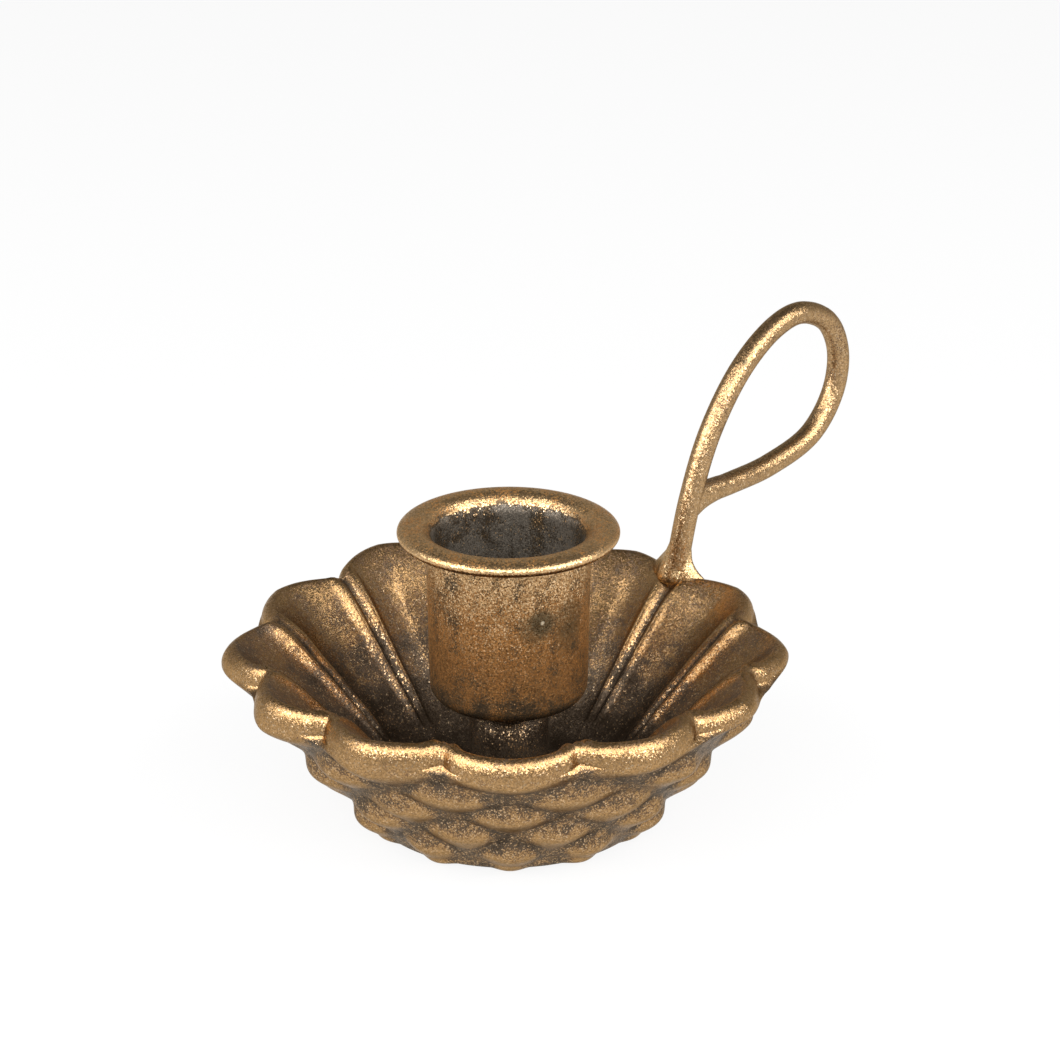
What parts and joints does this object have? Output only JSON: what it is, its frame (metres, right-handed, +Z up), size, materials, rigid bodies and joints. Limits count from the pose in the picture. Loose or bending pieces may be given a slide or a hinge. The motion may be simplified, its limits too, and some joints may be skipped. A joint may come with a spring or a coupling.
{
  "type": "taper candle holder",
  "caption": "Chamberstick for a taper candle: cast pinecone drip bowl with a petal rim, rolled-lip candle cup on a short post, and a bent-rod finger loop welded to the rim.",
  "frame": {"origin": "middle of the bowl's flat underside, on the table", "axes": "+Z up along the axis of the bowl and the candle, +X towards the finger loop"},
  "size_m": [0.1221, 0.0854, 0.0677],
  "materials": {
    "bowl": "cast, antique brass with dark recesses",
    "cup_pedestal": "cast, dark patina",
    "candle_cup": "drawn, antique brass, grey inside",
    "cup_screw": "plain, dulled",
    "handle_rod": "drawn rod, antique brass",
    "loop_weld": "as welded, antique brass",
    "root_weld": "as welded, antique brass"
  },
  "bodies": {
    "root": {"bowl": "bowl", "cup_pedestal": "cup_pedestal", "candle_cup": "candle_cup", "cup_screw": "cup_screw", "handle_rod": "handle_rod", "loop_weld": "loop_weld", "root_weld": "root_weld"}
  },
  "joints": []
}
